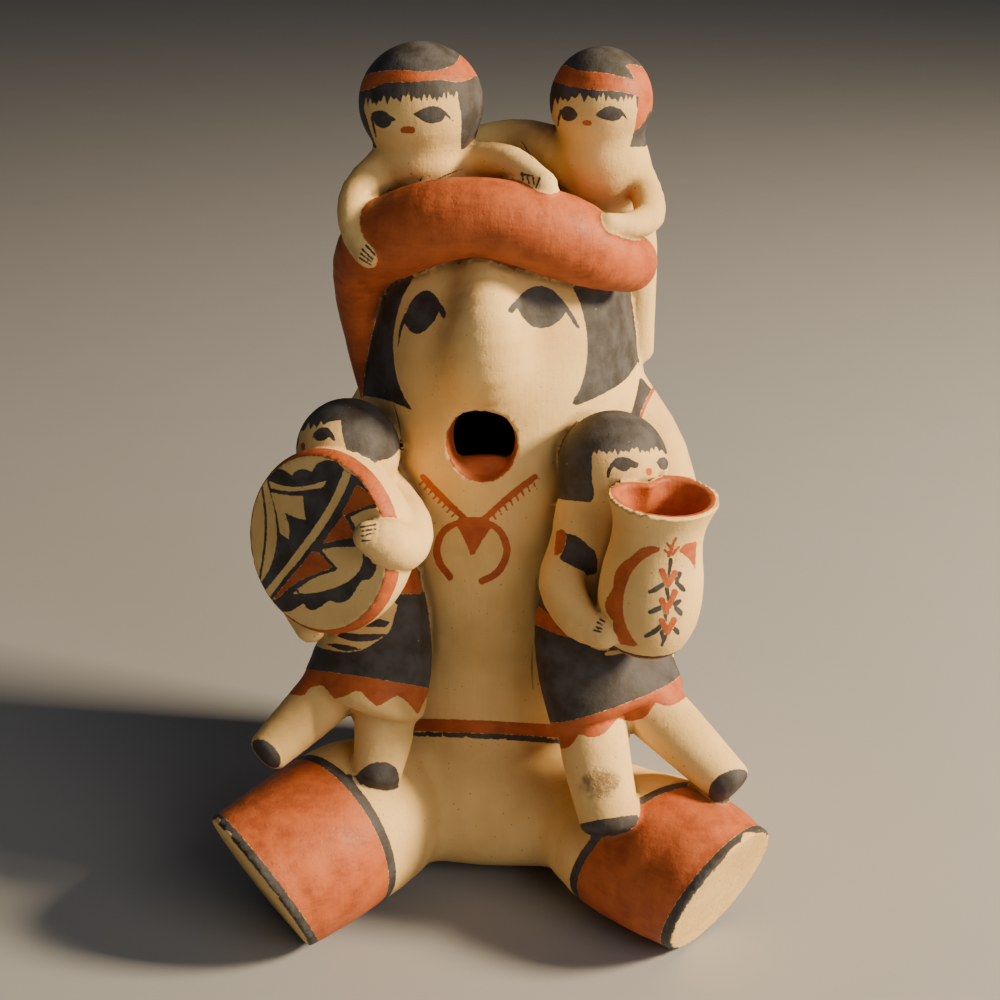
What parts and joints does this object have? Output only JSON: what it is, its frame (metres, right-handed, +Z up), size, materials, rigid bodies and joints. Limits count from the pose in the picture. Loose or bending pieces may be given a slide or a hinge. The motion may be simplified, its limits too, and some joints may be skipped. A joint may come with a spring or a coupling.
{
  "type": "pueblo storyteller figure",
  "caption": "Hollow fired-clay figure of a seated singing elder with children at the sides and on the crown, one with a drum and one with a jar.",
  "frame": {"origin": "middle of the flat seat, at floor level on the body's axis", "axes": "+Z up, the figure faces -Y, +X towards the child with the jar"},
  "size_m": [0.1633, 0.1514, 0.25],
  "materials": {
    "slipped_clay": "matte cream clay slip with charcoal and rust slip painting"
  },
  "bodies": {
    "root": {"storyteller": "slipped_clay"}
  },
  "joints": []
}
